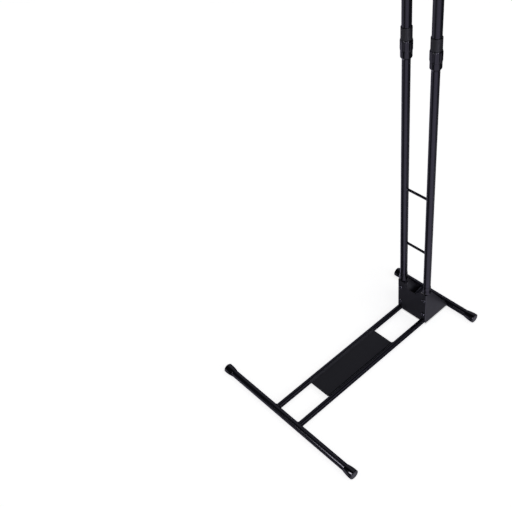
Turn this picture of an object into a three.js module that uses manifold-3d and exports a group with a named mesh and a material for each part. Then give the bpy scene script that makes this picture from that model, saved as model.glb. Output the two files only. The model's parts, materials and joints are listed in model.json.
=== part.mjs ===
// Vertical bike stand: a bike stands upright on its rear wheel in the floor tray, its tyres lean
// between two posts, and a hook near the top of the posts holds the front wheel's rim.
// Millimetres. X runs across the stand, +Y points from the bike towards the posts, Z is up.
// The origin lies on the floor, midway between the two crossbars.

import * as THREE from 'three';
import { mergeVertices } from 'three/addons/utils/BufferGeometryUtils.js';
import Module from 'manifold-3d';

const wasm = await Module();
wasm.setup();

// Fits
const seatGap = 0.3;
const slideGap = 0.4;
const holeGap = 0.3;
const cutOverrun = 5;

// Tube stock
const crossbarRadius = 10;
const railRadius = 7.7;
const spigotRadius = 8;
const postRadius = 10;
const baseTubeWall = 1.2;
const postWall = 1.7;
const upperTubeWall = 1;
const wireRadius = 3.4;

// Plan of the base
const crossbarSpacing = 590.5;
const crossbarHeight = 13;
const frontReach = 238.5;
const rearReach = 141.8;
const postHalfSpacing = 40.7;
const postSetback = 88;

// Foot caps
const capLength = 28.5;
const capMouthRadius = 10.8;
const capRimRadius = 13.3;
const capFlareShare = 0.77;
const capEndWall = 4;
const capEdge = 1.8;
const capGrooveRadius = 8.6;
const capGrooveWidth = 1.5;
const capGrooveDepth = 1.2;

// Wheel tray
const trayLength = 249;
const traySetback = 120;
const trayFloorHeight = 16;
const traySheet = 1.5;
const trayBend = 2;
const trayLip = 3.2;

// Post bracket
const bracketSheet = 1.5;
const bracketBend = 2.5;
const bracketTop = 118;
const bracketBottom = 9;
const bracketLedge = 24;
const bracketHeel = 22;
const bracketDip = 18;
const bracketDipFloor = 28;
const lowerBoltHeight = 40;
const upperBoltHeight = 93;
const saddleThickness = 4;
const saddleRadius = 6.8;

// Posts
const spigotTop = 200;
const lowerPostTop = 1100;
const lowerWireHeight = 259.2;
const upperWireHeight = 440.6;
const ferruleLength = 23.5;
const ferruleWeb = 3;
const ferruleMouthRadius = 10.8;
const ferruleRimRadius = 13.3;
const ferruleEdge = 2.4;
const ferruleFlareShare = 0.74;
const glideFlange = 5;
const glidePlug = 20;
const glideBore = 4;
const postScrewHeight = 165;

// Twist clamps where the upper tubes ride on the lower posts
const collarBottom = 805.5;
const collarRadius = 13.7;
const collarNoseRadius = 10.9;
const collarChamfer = 4;
const collarPlain = 19;
const collarLength = 46;
const collarLip = 1.2;
const gripRadius = 14.7;
const fluteDepth = 0.8;
const fluteCount = 12;
const threadRadius = 12.1;
const fingerTipWall = 0.6;
const fingerTaper = 5;
const fingerSlot = 1.6;
const fingerLength = 22;
const clampShoulder = 5;
const skirtWall = 1.4;
const skirtLength = 24;

// Upper frame
const upperTubeTop = 1590;
const hookDrop = 74;
const headWireDrop = 89;
const headWireSpacing = 180;
const topCapLength = 24;
const topCapMouthRadius = 12.5;
const topCapRimRadius = 14;

// Wheel hook and its bracket
const hookBracketSheet = 2;
const hookBracketBend = 3;
const hookBracketHeight = 60;
const hookBracketDepth = 24;
const hookBracketTail = 9;
const hookBoltOffset = 18;
const hookRodRadius = 4.5;
const hookThreadRadius = 4;
const hookArmX = 40;
const hookTipX = -40;
const hookReach = 82;
const hookTipHeight = 44;
const hookBend = 16;
const sleeveWall = 1.7;
const sleeveLead = 14;
const tipCapLength = 15;
const tipCapRadius = 7.4;
const tipCapDepth = 10;

// Fasteners
const boltRadius = 3;
const boltHeadRadius = 5.7;
const boltHeadHeight = 3.3;
const boltSocketRadius = 2.2;
const boltSocketDepth = 1.9;
const boltTail = 2;
const nutWidth = 10;
const nutHeight = 5.2;
const screwRadius = 2;
const screwHeadRadius = 3.9;
const screwHeadHeight = 2.2;
const screwSocketRadius = 1.4;
const screwSocketDepth = 1.2;
const screwBite = 3;
const hookNutWidth = 13;
const hookNutHeight = 6.5;
const washerRadius = 8.5;
const washerThickness = 1.6;

// Sizes and places that follow from the values above
const rearY = crossbarSpacing / 2;
const frontY = -rearY;
const postY = rearY - postSetback;
const upperTubeInner = postRadius + slideGap;
const upperTubeRadius = upperTubeInner + upperTubeWall;
const bracketInnerHalf = postHalfSpacing + Math.max(railRadius, spigotRadius) + seatGap;
const plateInner = spigotRadius + saddleThickness;
const plateOuter = plateInner + bracketSheet;
const ferruleBottom = bracketTop + seatGap;
const postBottom = ferruleBottom + ferruleWeb + seatGap;
const collarTop = collarBottom + collarLength;
const fingerBottom = collarBottom + collarChamfer + fingerTaper;
const skirtBottom = collarTop + clampShoulder;
const upperTubeBottom = skirtBottom + seatGap;
const hookHeight = upperTubeTop - hookDrop;
const upperHeadWireHeight = hookHeight - headWireDrop;
const lowerHeadWireHeight = upperHeadWireHeight - headWireSpacing;
const hookFlangeInner = postHalfSpacing + upperTubeRadius + seatGap;
const hookFlangeOuter = hookFlangeInner + hookBracketSheet;
const hookWebFront = postY - upperTubeRadius - hookBracketDepth;
const hookWebBack = hookWebFront + hookBracketSheet;
const hookSeatY = hookWebFront - hookReach;
const hookNutBack = hookWebBack + seatGap + washerThickness + seatGap;

// Facet counts
const tubeSides = 24;
const spigotSides = 16;
const wireSides = 12;
const boltSides = 12;
const hexSides = 6;
const hookSides = 12;
const bendSteps = 3;
const rodBendSteps = 5;
const flareSteps = 3;
const domeSteps = 3;
const stepsPerFlute = 3;
const edgeShare = 1 - Math.SQRT1_2;

// Materials
const glossBlack = { color: 0x14131a, roughness: 0.22, metalness: 0.35 };
const satinSheet = { color: 0x2c2d37, roughness: 0.48, metalness: 0.4 };
const glossPlastic = { color: 0x0b0b0e, roughness: 0.25, metalness: 0 };
const satinPlastic = { color: 0x17171b, roughness: 0.42, metalness: 0 };
const softVinyl = { color: 0x111113, roughness: 0.6, metalness: 0 };
const blackBolt = { color: 0x1e1f24, roughness: 0.35, metalness: 0.7 };
const zincSteel = { color: 0x9a9da3, roughness: 0.35, metalness: 0.9 };

// A closed body from a three.js geometry whose seams are merged
function solid(geometry) {
  const bare = geometry.clone();
  bare.deleteAttribute('normal');
  bare.deleteAttribute('uv');
  const merged = mergeVertices(bare);
  const corners = merged.index.array;
  const kept = [];
  for (let i = 0; i < corners.length; i += 3) {
    const [a, b, c] = [corners[i], corners[i + 1], corners[i + 2]];
    if (a !== b && b !== c && c !== a) kept.push(a, b, c);
  }
  const vertProperties = new Float32Array(merged.attributes.position.array);
  return new wasm.Manifold(new wasm.Mesh({ numProp: 3, vertProperties, triVerts: new Uint32Array(kept) }));
}

function geometryOf(body) {
  const { vertProperties, triVerts } = body.getMesh();
  const geometry = new THREE.BufferGeometry();
  geometry.setAttribute('position', new THREE.BufferAttribute(vertProperties, 3));
  geometry.setIndex(new THREE.BufferAttribute(triVerts, 1));
  geometry.computeVertexNormals();
  return geometry;
}

function cut(stock, ...tools) {
  return geometryOf(tools.reduce((body, tool) => body.subtract(solid(tool)), solid(stock)));
}

function join(...pieces) {
  return geometryOf(pieces.map(solid).reduce((body, piece) => body.add(piece)));
}

function common(first, second) {
  return geometryOf(solid(first).intersect(solid(second)));
}

// A body turned about Z from [radius, height] pairs that run anticlockwise
function revolve(profile, sides) {
  const points = profile.map(([radius, height]) => new THREE.Vector2(radius, height));
  return new THREE.LatheGeometry(points, sides).rotateX(Math.PI / 2);
}

function ring(innerRadius, outerRadius, from, to, sides) {
  return revolve([[innerRadius, from], [outerRadius, from], [outerRadius, to], [innerRadius, to],
    [innerRadius, from]], sides);
}

function cylinder(radius, from, to, sides) {
  return revolve([[0, from], [radius, from], [radius, to], [0, to]], sides);
}

function alongX(geometry) {
  return geometry.rotateY(Math.PI / 2);
}

function alongY(geometry) {
  return geometry.rotateX(-Math.PI / 2);
}

function box(xRange, yRange, zRange) {
  const spans = [xRange, yRange, zRange];
  const sizes = spans.map(([low, high]) => high - low);
  const middles = spans.map(([low, high]) => (high + low) / 2);
  return new THREE.BoxGeometry(...sizes).translate(...middles);
}

// Prisms: an outline in the XY plane raised along Z, in XZ along Y, or in YZ along X
function prismZ(outline, from, to) {
  return new THREE.ExtrudeGeometry(outline, { depth: to - from, bevelEnabled: false }).translate(0, 0, from);
}

function prismY(outline, from, to) {
  return prismZ(outline, -to, -from).rotateX(Math.PI / 2);
}

function prismX(outline, from, to) {
  return prismZ(outline, from, to).rotateX(Math.PI / 2).rotateZ(Math.PI / 2);
}

function polygon(points) {
  return new THREE.Shape(points.map(([x, y]) => new THREE.Vector2(x, y)));
}

// Outline of a folded sheet from its middle line, with each fold rounded to its inner bend radius
function foldedSheet(points, thickness, bend) {
  const corners = points.map(([x, y]) => new THREE.Vector2(x, y));
  const radius = bend + thickness / 2;
  const stations = [];
  corners.forEach((corner, i) => {
    const before = corners[Math.max(i - 1, 0)];
    const after = corners[Math.min(i + 1, corners.length - 1)];
    const incoming = (i ? corner.clone().sub(before) : after.clone().sub(corner)).normalize();
    const outgoing = (corner === after ? incoming : after.clone().sub(corner)).clone().normalize();
    const normal = new THREE.Vector2(-incoming.y, incoming.x);
    const turn = Math.atan2(incoming.cross(outgoing), incoming.dot(outgoing));
    if (turn === 0) {
      stations.push({ point: corner, normal });
      return;
    }
    const side = Math.sign(turn);
    const start = corner.clone().addScaledVector(incoming, -radius * Math.tan(Math.abs(turn) / 2));
    const centre = start.clone().addScaledVector(normal, side * radius);
    for (let step = 0; step <= bendSteps; step += 1) {
      const turned = normal.clone().rotateAround(new THREE.Vector2(), turn * step / bendSteps);
      stations.push({ point: centre.clone().addScaledVector(turned, -side * radius), normal: turned });
    }
  });
  const face = (sign) => stations.map(({ point, normal }) =>
    point.clone().addScaledVector(normal, sign * thickness / 2));
  return new THREE.Shape([...face(1), ...face(-1).reverse()]);
}

// A route with one ring of the swept section at each of its points
class Route extends THREE.Curve {
  constructor(points) {
    super();
    this.points = points;
  }

  getPoint(share) {
    const place = share * (this.points.length - 1);
    const index = Math.min(Math.floor(place), this.points.length - 2);
    return this.points[index].clone().lerp(this.points[index + 1], place - index);
  }

  getTangent(share) {
    const index = Math.round(share * (this.points.length - 1));
    const before = this.points[Math.max(index - 1, 0)];
    const after = this.points[Math.min(index + 1, this.points.length - 1)];
    const middle = this.points[index];
    if (before === middle || after === middle) return after.clone().sub(before).normalize();
    const into = middle.clone().sub(before).normalize();
    return after.clone().sub(middle).normalize().add(into).normalize();
  }

  getUtoTmapping(share) {
    return share;
  }
}

// Straight runs between the corners, with a round bend at each inner corner
function bentRoute(corners, radius) {
  const points = [corners[0].clone()];
  for (let i = 1; i < corners.length - 1; i += 1) {
    const incoming = corners[i].clone().sub(corners[i - 1]).normalize();
    const outgoing = corners[i + 1].clone().sub(corners[i]).normalize();
    const turn = incoming.angleTo(outgoing);
    const axis = incoming.clone().cross(outgoing).normalize();
    const inward = axis.clone().cross(incoming);
    const start = corners[i].clone().addScaledVector(incoming, -radius * Math.tan(turn / 2));
    const centre = start.clone().addScaledVector(inward, radius);
    for (let step = 0; step <= rodBendSteps; step += 1) {
      const spoke = inward.clone().applyAxisAngle(axis, turn * step / rodBendSteps);
      points.push(centre.clone().addScaledVector(spoke, -radius));
    }
  }
  points.push(corners[corners.length - 1].clone());
  return new Route(points);
}

function circleOutline(radius, sides) {
  const points = [];
  for (let i = 0; i < sides; i += 1) {
    const angle = 2 * Math.PI * i / sides;
    points.push(new THREE.Vector2(radius * Math.cos(angle), radius * Math.sin(angle)));
  }
  return points;
}

function sweep(route, outerRadius, innerRadius, sides) {
  const section = new THREE.Shape(circleOutline(outerRadius, sides));
  if (innerRadius) section.holes.push(new THREE.Path(circleOutline(innerRadius, sides)));
  return new THREE.ExtrudeGeometry(section, { steps: route.points.length - 1, extrudePath: route });
}

// Points of a profile that swells or tapers smoothly between two heights
function flare(ease, fromRadius, toRadius, fromHeight, toHeight) {
  const points = [];
  for (let i = 0; i <= flareSteps; i += 1) {
    const share = i / flareSteps;
    points.push([THREE.MathUtils.lerp(fromRadius, toRadius, ease(share)),
      THREE.MathUtils.lerp(fromHeight, toHeight, share)]);
  }
  return points;
}

function softEnds(share) {
  return THREE.MathUtils.smoothstep(share, 0, 1);
}

function softFinish(share) {
  return Math.sin(share * Math.PI / 2);
}

// Base frame

// Foot crossbar along X, open at both ends
function crossbarGeometry(reach) {
  const half = reach - capEndWall - seatGap;
  return alongX(ring(crossbarRadius - baseTubeWall, crossbarRadius, -half, half, tubeSides));
}

function crossbarTool(y, z) {
  const tool = cylinder(crossbarRadius + seatGap, -frontReach, frontReach, tubeSides);
  return alongX(tool).translate(0, y, z);
}

// Rail along Y whose ends are coped to the crossbars
function railGeometry() {
  const stock = alongY(ring(railRadius - baseTubeWall, railRadius, frontY, rearY, tubeSides));
  return cut(stock, crossbarTool(frontY, 0), crossbarTool(rearY, 0));
}

// Bell-shaped cap along +Z that is pushed over the end of a tube: it swells towards its full radius,
// runs straight to a round edge and has a ring-shaped vee groove in its end
function bellCap(tubeRadius, mouthRadius, rimRadius, length) {
  const bore = tubeRadius + seatGap;
  const edge = capEdge * edgeShare;
  const grooveOuter = capGrooveRadius + capGrooveWidth;
  return revolve([[bore, 0], ...flare(softFinish, mouthRadius, rimRadius, 0, length * capFlareShare),
    [rimRadius, length - capEdge], [rimRadius - edge, length - edge], [rimRadius - capEdge, length],
    [grooveOuter, length], [(grooveOuter + capGrooveRadius) / 2, length - capGrooveDepth],
    [capGrooveRadius, length], [0, length], [0, length - capEndWall], [bore, length - capEndWall],
    [bore, 0]], tubeSides);
}

// Foot cap along +X with a flat where it meets the floor
function footCapGeometry() {
  const bell = alongX(bellCap(crossbarRadius, capMouthRadius, capRimRadius, capLength));
  return cut(bell, box([-cutOverrun, capLength + cutOverrun], [-capRimRadius, capRimRadius],
    [-crossbarHeight - cutOverrun, -crossbarHeight]));
}

// Folded dish that hangs between the rails on its turned-up sides
function wheelTrayGeometry() {
  const slope = Math.PI / 4;
  const stand = railRadius + seatGap + traySheet / 2;
  const rest = [postHalfSpacing - stand * Math.sin(slope), crossbarHeight + stand * Math.cos(slope)];
  const floor = trayFloorHeight - traySheet / 2;
  const fold = [rest[0] - (rest[1] - floor) / Math.tan(slope), floor];
  const lip = [rest[0] + trayLip * Math.cos(slope), rest[1] + trayLip * Math.sin(slope)];
  const outline = foldedSheet([[-lip[0], lip[1]], [-fold[0], fold[1]], fold, lip], traySheet, trayBend);
  return prismY(outline, 0, trayLength);
}

// Slot in the bracket's plate that stands over a rail, open downwards
function railNotch() {
  const radius = railRadius + seatGap;
  const outline = new THREE.Shape();
  outline.moveTo(-radius, 0);
  outline.lineTo(radius, 0);
  outline.lineTo(radius, crossbarHeight);
  outline.absarc(0, crossbarHeight, radius, 0, Math.PI, false);
  return prismY(outline, -plateOuter - cutOverrun, bracketBend - plateInner);
}

// Dip in the plate's top edge between the ferrules, with sloping ends
function plateDip() {
  const floor = bracketTop - bracketDip;
  const mouth = postHalfSpacing - ferruleRimRadius;
  const outline = polygon([[-bracketDipFloor / 2, floor], [bracketDipFloor / 2, floor], [mouth, bracketTop],
    [mouth, bracketTop + cutOverrun], [-mouth, bracketTop + cutOverrun], [-mouth, bracketTop]]);
  return prismY(outline, -plateOuter - cutOverrun, bracketBend - plateInner);
}

// Folded bracket about the post line: a front plate and two gussets that reach the rear crossbar
function postBracketGeometry() {
  const middle = bracketInnerHalf + bracketSheet / 2;
  const plate = -plateInner - bracketSheet / 2;
  const plan = foldedSheet([[-middle, postSetback], [-middle, plate], [middle, plate],
    [middle, postSetback]], bracketSheet, bracketBend);
  const heelY = postSetback - crossbarRadius;
  const side = polygon([[-plateOuter, bracketBottom], [postSetback, bracketBottom],
    [postSetback, crossbarHeight], [heelY, crossbarHeight], [heelY, bracketHeel],
    [bracketLedge - plateOuter, bracketTop], [-plateOuter, bracketTop]]);
  const reach = bracketInnerHalf + bracketSheet;
  const folded = common(prismZ(plan, bracketBottom, bracketTop), prismX(side, -reach, reach));
  const tools = [crossbarTool(postSetback, crossbarHeight), plateDip()];
  for (const x of [-postHalfSpacing, postHalfSpacing]) {
    tools.push(railNotch().translate(x, 0, 0));
    for (const z of [lowerBoltHeight, upperBoltHeight]) {
      const hole = alongY(cylinder(boltRadius + holeGap, -plateOuter - cutOverrun, 0, boltSides));
      tools.push(hole.translate(x, 0, z));
    }
  }
  return cut(folded, ...tools);
}

// Upright stub that stands on a rail behind the bracket's plate and carries a post
function spigotGeometry() {
  const bottom = crossbarHeight + railRadius + seatGap;
  const reach = spigotRadius + cutOverrun;
  const tools = [lowerBoltHeight, upperBoltHeight].map((z) =>
    alongY(cylinder(boltRadius + holeGap, -reach, reach, boltSides)).translate(0, 0, z));
  return cut(ring(spigotRadius - baseTubeWall, spigotRadius, bottom, spigotTop, spigotSides), ...tools,
    postScrewHole());
}

function postScrewHole() {
  const hole = alongY(cylinder(screwRadius + holeGap, 0, postRadius + cutOverrun, boltSides));
  return hole.translate(0, 0, postScrewHeight);
}

// Round spacer along -Y whose hollow side fits a spigot at the origin
function saddleGeometry() {
  const reach = saddleRadius + cutOverrun;
  const pad = alongY(cylinder(saddleRadius, seatGap - plateInner, 0, boltSides));
  const bore = alongY(cylinder(boltRadius + holeGap, -plateInner, 0, boltSides));
  return cut(pad, bore, cylinder(spigotRadius + seatGap, -reach, reach, tubeSides));
}

// Round-headed bolt along +Y from the underside of its head, with a hexagon socket
function boltGeometry({ radius, headRadius, headHeight, socketRadius, socketDepth }, length) {
  const profile = [];
  for (let i = 0; i <= domeSteps; i += 1) {
    const angle = Math.PI / 2 * i / domeSteps;
    profile.push([headRadius * Math.sin(angle), -headHeight * Math.cos(angle)]);
  }
  profile.push([radius, 0], [radius, length], [0, length]);
  const socket = cylinder(socketRadius, -headHeight - cutOverrun, socketDepth - headHeight, hexSides);
  return alongY(cut(revolve(profile, boltSides), socket));
}

function nutGeometry(width, height, threadedRadius) {
  const body = cylinder(width / Math.sqrt(3), 0, height, hexSides);
  return alongY(cut(body, cylinder(threadedRadius + holeGap, -cutOverrun, height + cutOverrun, boltSides)));
}

// Bell-shaped ferrule round the foot of a post, on top of the bracket: straight above its flare
function ferruleGeometry() {
  const bore = postRadius + seatGap;
  const webBore = spigotRadius + seatGap;
  const edge = ferruleEdge * edgeShare;
  return revolve([[webBore, 0], [ferruleRimRadius - ferruleEdge, 0], [ferruleRimRadius - edge, edge],
    ...flare(softEnds, ferruleRimRadius, ferruleMouthRadius, ferruleEdge, ferruleLength * ferruleFlareShare),
    [ferruleMouthRadius, ferruleLength], [bore, ferruleLength], [bore, ferruleWeb], [webBore, ferruleWeb],
    [webBore, 0]], tubeSides);
}

function lowerPostGeometry() {
  return cut(ring(postRadius - postWall, postRadius, postBottom, lowerPostTop, tubeSides), postScrewHole());
}

// Plug in the top of a lower post, with a flange that guides the upper tube
function glideGeometry() {
  const plug = postRadius - postWall - seatGap;
  const flange = upperTubeInner - seatGap;
  return revolve([[glideBore, -glidePlug], [plug, -glidePlug], [plug, 0], [flange, 0],
    [flange, glideFlange], [glideBore, glideFlange], [glideBore, -glidePlug]], boltSides);
}

// Round wire along X between two upright tubes, coped to both
function crossWireGeometry(tubeRadius) {
  const wire = alongX(cylinder(wireRadius, -postHalfSpacing, postHalfSpacing, wireSides));
  const reach = wireRadius + cutOverrun;
  const tools = [-postHalfSpacing, postHalfSpacing].map((x) =>
    cylinder(tubeRadius + seatGap, -reach, reach, tubeSides).translate(x, 0, 0));
  return cut(wire, ...tools);
}

// Twist clamps

// Threaded body with split fingers below and a skirt that grips the upper tube's end
function clampBodyGeometry() {
  const bore = postRadius + seatGap;
  const skirtBore = upperTubeRadius + seatGap;
  const skirtRadius = skirtBore + skirtWall;
  const skirtTop = skirtBottom + skirtLength;
  const reach = threadRadius + cutOverrun;
  const body = revolve([[bore, fingerBottom], [bore + fingerTipWall, fingerBottom],
    [threadRadius, fingerBottom + fingerTaper], [threadRadius, collarTop + seatGap],
    [skirtRadius, collarTop + seatGap], [skirtRadius, skirtTop], [skirtBore, skirtTop],
    [skirtBore, skirtBottom], [bore, skirtBottom], [bore, fingerBottom]], tubeSides);
  const slots = [];
  for (let i = 0; i < 2; i += 1) {
    const slot = box([-reach, reach], [-fingerSlot / 2, fingerSlot / 2],
      [fingerBottom - cutOverrun, fingerBottom + fingerLength]);
    slots.push(slot.rotateZ(Math.PI / 2 * i));
  }
  return cut(body, ...slots);
}

// Nut that closes the fingers on the post: a chamfered plain rim below a fluted grip
function collarGeometry() {
  const bore = threadRadius + seatGap;
  const mouth = postRadius + slideGap;
  const tip = postRadius + seatGap + fingerTipWall + seatGap;
  const shelf = fingerBottom - seatGap;
  const plainTop = collarBottom + collarPlain;
  const gripTop = collarTop - collarLip;
  const flutes = [];
  const samples = fluteCount * stepsPerFlute;
  for (let i = 0; i < samples; i += 1) {
    const angle = 2 * Math.PI * i / samples;
    const radius = i % stepsPerFlute ? gripRadius - fluteDepth : gripRadius;
    flutes.push(new THREE.Vector2(radius * Math.cos(angle), radius * Math.sin(angle)));
  }
  const stock = join(
    cylinder(collarRadius, collarBottom, collarTop, tubeSides),
    prismZ(new THREE.Shape(flutes), plainTop, gripTop),
  );
  const nose = revolve([[collarNoseRadius, collarBottom], [gripRadius, collarBottom],
    [gripRadius, collarBottom + collarChamfer], [collarRadius, collarBottom + collarChamfer],
    [collarNoseRadius, collarBottom]], tubeSides);
  const inside = revolve([[0, collarBottom - cutOverrun], [mouth, collarBottom - cutOverrun], [mouth, shelf],
    [tip, shelf], [tip, fingerBottom], [bore, fingerBottom + fingerTaper], [bore, collarTop + cutOverrun],
    [0, collarTop + cutOverrun]], tubeSides);
  return cut(stock, nose, inside);
}

// Upper frame

// Tube that rides on a lower post, with two screw holes towards +X
function upperTubeGeometry() {
  const tools = [-hookBoltOffset, hookBoltOffset].map((offset) => {
    const hole = alongX(cylinder(boltRadius + holeGap, 0, upperTubeRadius + cutOverrun, boltSides));
    return hole.translate(0, 0, hookHeight + offset);
  });
  return cut(ring(upperTubeInner, upperTubeRadius, upperTubeBottom, upperTubeTop, tubeSides), ...tools);
}

// Folded channel about the post line that wraps the upper tubes and stands the hook off them
function hookBracketGeometry() {
  const middle = hookFlangeInner + hookBracketSheet / 2;
  const web = (hookWebFront + hookWebBack) / 2;
  const tail = postY + hookBracketTail;
  const plan = foldedSheet([[-middle, tail], [-middle, web], [middle, web], [middle, tail]],
    hookBracketSheet, hookBracketBend);
  const half = hookBracketHeight / 2;
  const reach = hookFlangeOuter + cutOverrun;
  const tools = [-hookBoltOffset, hookBoltOffset].map((offset) =>
    alongX(cylinder(boltRadius + holeGap, -reach, reach, boltSides)).translate(0, postY, offset));
  const threadHole = hookThreadRadius + holeGap;
  const armHole = cylinder(threadHole, hookWebFront - cutOverrun, hookWebBack + cutOverrun, boltSides);
  tools.push(alongY(armHole).translate(hookArmX, 0, 0));
  return cut(prismZ(plan, -half, half), ...tools);
}

// Route of the hook from a point on its arm: forwards, across under the rim and up at the tip
function hookRoute(armY, tipHeight) {
  return bentRoute([
    new THREE.Vector3(hookArmX, armY, 0),
    new THREE.Vector3(hookArmX, hookSeatY, 0),
    new THREE.Vector3(hookTipX, hookSeatY, 0),
    new THREE.Vector3(hookTipX, hookSeatY, tipHeight),
  ], hookBend);
}

// Hook bent from rod, with a thinner threaded end through its bracket
function wheelHookGeometry() {
  const shoulder = hookWebFront - seatGap - hookNutHeight - seatGap;
  const rod = sweep(hookRoute(shoulder, hookTipHeight), hookRodRadius, 0, hookSides);
  const threadEnd = hookNutBack + hookNutHeight + boltTail;
  const thread = alongY(cylinder(hookThreadRadius, shoulder - cutOverrun, threadEnd, hookSides));
  return join(rod, thread.translate(hookArmX, 0, 0));
}

function hookSleeveGeometry() {
  const bore = hookRodRadius + seatGap;
  const start = hookSeatY + hookBend + sleeveLead;
  const end = hookTipHeight - tipCapDepth - seatGap;
  return sweep(hookRoute(start, end), bore + sleeveWall, bore, hookSides);
}

// Round-ended cap along +Z on the tip of the hook
function tipCapGeometry() {
  const bore = hookRodRadius + seatGap;
  const shoulder = tipCapLength - tipCapRadius;
  const profile = [[bore, 0], [tipCapRadius, 0]];
  for (let i = 0; i <= domeSteps; i += 1) {
    const angle = Math.PI / 2 * i / domeSteps;
    profile.push([tipCapRadius * Math.cos(angle), shoulder + tipCapRadius * Math.sin(angle)]);
  }
  profile.push([0, tipCapDepth + seatGap], [bore, tipCapDepth + seatGap], [bore, 0]);
  return revolve(profile, boltSides);
}

// Assembly

const stand = new THREE.Group();
stand.name = 'vertical_bike_stand';
const postLine = new THREE.Group();
postLine.position.set(0, postY, 0);
stand.add(postLine);

function place(parent, name, geometry, look, position, turn = 0) {
  const mesh = new THREE.Mesh(geometry, new THREE.MeshStandardMaterial(look));
  mesh.name = name;
  mesh.position.set(...position);
  mesh.rotation.z = turn;
  parent.add(mesh);
}

const sides = [{ side: 'left', sign: -1, turn: Math.PI }, { side: 'right', sign: 1, turn: 0 }];
const boltSize = { radius: boltRadius, headRadius: boltHeadRadius, headHeight: boltHeadHeight,
  socketRadius: boltSocketRadius, socketDepth: boltSocketDepth };
const screwSize = { radius: screwRadius, headRadius: screwHeadRadius, headHeight: screwHeadHeight,
  socketRadius: screwSocketRadius, socketDepth: screwSocketDepth };

// Base frame
for (const [end, y, reach] of [['front', frontY, frontReach], ['rear', rearY, rearReach]]) {
  place(stand, `crossbar_${end}`, crossbarGeometry(reach), glossBlack, [0, y, crossbarHeight]);
  for (const { side, sign, turn } of sides) {
    place(stand, `foot_cap_${end}_${side}`, footCapGeometry(), glossPlastic,
      [sign * (reach - capLength), y, crossbarHeight], turn);
  }
}
place(stand, 'wheel_tray', wheelTrayGeometry(), satinSheet, [0, frontY + traySetback, 0]);
place(postLine, 'post_bracket', postBracketGeometry(), satinSheet, [0, 0, 0]);

// Tubes and caps, one of each on either side
for (const { side, sign, turn } of sides) {
  const x = sign * postHalfSpacing;
  const topCap = bellCap(upperTubeRadius, topCapMouthRadius, topCapRimRadius, topCapLength);
  place(stand, `rail_${side}`, railGeometry(), glossBlack, [x, 0, crossbarHeight]);
  place(postLine, `post_spigot_${side}`, spigotGeometry(), glossBlack, [x, 0, 0]);
  place(postLine, `lower_post_${side}`, lowerPostGeometry(), glossBlack, [x, 0, 0]);
  place(postLine, `post_ferrule_${side}`, ferruleGeometry(), glossPlastic, [x, 0, ferruleBottom]);
  place(postLine, `post_glide_${side}`, glideGeometry(), satinPlastic, [x, 0, lowerPostTop + seatGap]);
  place(postLine, `clamp_body_${side}`, clampBodyGeometry(), satinPlastic, [x, 0, 0]);
  place(postLine, `clamp_collar_${side}`, collarGeometry(), glossPlastic, [x, 0, 0]);
  place(postLine, `upper_tube_${side}`, upperTubeGeometry(), glossBlack, [x, 0, 0], turn);
  place(postLine, `top_cap_${side}`, topCap, glossPlastic,
    [x, 0, upperTubeTop + seatGap + capEndWall - topCapLength]);
}

for (const [level, z] of [['low', lowerWireHeight], ['high', upperWireHeight]]) {
  place(postLine, `post_wire_${level}`, crossWireGeometry(postRadius), glossBlack, [0, 0, z]);
}
for (const [level, z] of [['low', lowerHeadWireHeight], ['high', upperHeadWireHeight]]) {
  place(postLine, `head_wire_${level}`, crossWireGeometry(upperTubeRadius), glossBlack, [0, 0, z]);
}

// Fasteners: each bracket bolt runs through a spacer and a spigot into a nut
const bracketBoltSeat = plateOuter + seatGap;
const bracketNutSeat = spigotRadius + seatGap;
const bracketBolt = boltGeometry(boltSize, bracketBoltSeat + bracketNutSeat + nutHeight + boltTail);
const bracketNut = nutGeometry(nutWidth, nutHeight, boltRadius);
const postScrewSeat = postRadius + seatGap;
const postScrew = boltGeometry(screwSize, postScrewSeat - spigotRadius + baseTubeWall + screwBite);
const hookScrew = boltGeometry(boltSize, hookBracketSheet + 2 * seatGap + upperTubeWall + screwBite);
for (const { side, sign } of sides) {
  const x = sign * postHalfSpacing;
  for (const [level, z] of [['low', lowerBoltHeight], ['high', upperBoltHeight]]) {
    place(postLine, `bracket_bolt_${level}_${side}`, bracketBolt, blackBolt, [x, -bracketBoltSeat, z]);
    place(postLine, `bracket_spacer_${level}_${side}`, saddleGeometry(), satinPlastic, [x, 0, z]);
    place(postLine, `bracket_nut_${level}_${side}`, bracketNut, blackBolt, [x, bracketNutSeat, z]);
  }
  place(postLine, `post_screw_${side}`, postScrew, blackBolt, [x, postScrewSeat, postScrewHeight], Math.PI);
  for (const [level, offset] of [['low', -hookBoltOffset], ['high', hookBoltOffset]]) {
    place(postLine, `hook_screw_${level}_${side}`, hookScrew, blackBolt,
      [sign * (hookFlangeOuter + seatGap), 0, hookHeight + offset], sign * Math.PI / 2);
  }
}

// Wheel hook and its bracket
const hook = new THREE.Group();
hook.position.set(0, 0, hookHeight);
stand.add(hook);
const tipCapPlace = [hookTipX, hookSeatY, hookTipHeight - tipCapDepth];
const washer = alongY(ring(hookThreadRadius + holeGap, washerRadius, 0, washerThickness, boltSides));
const hookNut = nutGeometry(hookNutWidth, hookNutHeight, hookThreadRadius);
place(hook, 'hook_bracket', hookBracketGeometry(), satinSheet, [0, 0, 0]);
place(hook, 'wheel_hook', wheelHookGeometry(), glossBlack, [0, 0, 0]);
place(hook, 'hook_sleeve', hookSleeveGeometry(), softVinyl, [0, 0, 0]);
place(hook, 'hook_tip_cap', tipCapGeometry(), glossPlastic, tipCapPlace);
place(hook, 'hook_washer', washer, zincSteel, [hookArmX, hookWebBack + seatGap, 0]);
place(hook, 'hook_nut_front', hookNut, zincSteel, [hookArmX, hookWebFront - seatGap - hookNutHeight, 0]);
place(hook, 'hook_nut_back', hookNut, zincSteel, [hookArmX, hookNutBack, 0]);

export default stand;
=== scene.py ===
import json
import math

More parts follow.
